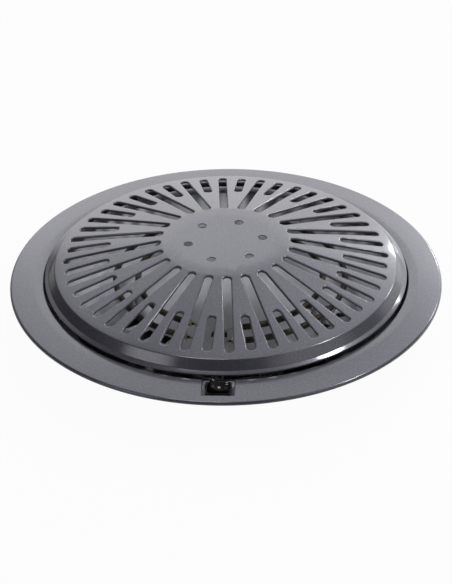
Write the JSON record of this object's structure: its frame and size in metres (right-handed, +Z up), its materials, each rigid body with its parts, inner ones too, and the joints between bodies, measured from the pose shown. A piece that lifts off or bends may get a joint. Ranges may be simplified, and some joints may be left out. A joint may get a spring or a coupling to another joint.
{
  "type": "electric brazier",
  "caption": "Round electric brazier: wide-flanged pan, reflector with ring elements, slotted pressed cover and a rocker switch in the flange.",
  "frame": {"origin": "on the floor under the feet, at the centre of the bounding box", "axes": "+Z up along the pan's axis, -Y towards the side with the switch, +X to the right of someone facing the switch"},
  "size_m": [0.56, 0.56, 0.1085],
  "materials": {
    "paint": "grey hammered enamel, semi-gloss",
    "reflector": "bright rolled sheet",
    "sheath": "heat-darkened steel sheath",
    "strip_steel": "zinc-plated strip",
    "zinc": "zinc plate",
    "brass": "bare brass",
    "ceramic": "unglazed steatite",
    "housing_black": "fine matt moulding",
    "rocker_black": "glossy moulding",
    "lens_red": "transparent red, unlit",
    "lens_smoke": "dark smoked, unlit",
    "rubber": "matt black rubber",
    "glass_fibre": "braided glass-fibre sleeve",
    "earth_green": "green braided sleeve"
  },
  "bodies": {
    "body": {"base_pan": "paint", "grille_cover": "paint", "switch_tray": "paint", "switch_guard": "paint", "reflector_dish": "reflector", "inner_element": "sheath", "outer_element": "sheath", "cover_clip_1": "strip_steel", "cover_clip_2": "strip_steel", "cover_clip_3": "strip_steel", "cover_clip_4": "strip_steel", "element_bracket_1": "strip_steel", "element_bracket_2": "strip_steel", "element_bracket_3": "strip_steel", "bracket_screw_1": "zinc", "bracket_screw_2": "zinc", "bracket_screw_3": "zinc", "dish_standoff_1": "zinc", "dish_standoff_2": "zinc", "dish_standoff_3": "zinc", "earth_screw": "zinc", "terminal_nut_1": "brass", "terminal_nut_2": "brass", "terminal_nut_3": "brass", "terminal_nut_4": "brass", "switch_terminal_1": "brass", "switch_terminal_2": "brass", "switch_terminal_3": "brass", "switch_terminal_4": "brass", "terminal_bush_1": "ceramic", "terminal_bush_2": "ceramic", "terminal_bush_3": "ceramic", "terminal_bush_4": "ceramic", "terminal_block": "ceramic", "thermal_cutout": "ceramic", "switch_housing": "housing_black", "rubber_foot_1": "rubber", "rubber_foot_2": "rubber", "rubber_foot_3": "rubber", "rubber_foot_4": "rubber", "cord_grommet": "rubber", "lead_inner": "glass_fibre", "lead_outer": "glass_fibre", "return_outer": "glass_fibre", "return_inner": "glass_fibre", "cutout_wire": "glass_fibre", "supply_wire": "glass_fibre", "earth_wire": "earth_green"},
    "rocker": {"switch_rocker": "rocker_black", "lamp_lens_1": "lens_red", "lamp_lens_2": "lens_smoke"}
  },
  "joints": [
    {"name": "rocker_tip", "type": "hinge", "parent": "body", "child": "rocker", "pos_m": [0, -0.2493, 0.0538], "axis": [0, -1, 0], "range_deg": [0, 18]}
  ]
}
